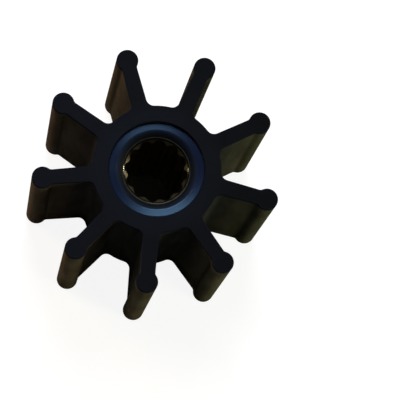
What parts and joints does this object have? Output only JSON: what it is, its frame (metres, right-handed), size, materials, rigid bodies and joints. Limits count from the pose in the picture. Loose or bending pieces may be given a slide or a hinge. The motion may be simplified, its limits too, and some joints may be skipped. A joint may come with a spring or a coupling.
{
  "type": "rubber pump impeller",
  "caption": "Flexible impeller for a raw-water pump: a black rubber hub with straight, bead-tipped vanes, moulded round a blue sleeve that holds a splined brass bush.",
  "frame": {"origin": "on the impeller's axis, in the plane of its rear end face, which it stands on", "axes": "+Z along the axis, from the rear face to the front face; +X along the middle of one vane"},
  "size_m": [0.0632, 0.064, 0.056],
  "materials": {
    "black_rubber": "matt moulded nitrile or neoprene rubber, with a faint sheen on the bead sides",
    "blue_plastic": "satin blue moulding plastic, faced with fine turning marks",
    "brass": "machined brass, bright on the bevelled edges and dull down the grooves"
  },
  "bodies": {
    "root": {"vane_body": "black_rubber", "insert_sleeve": "blue_plastic", "splined_bush": "brass"}
  },
  "joints": []
}
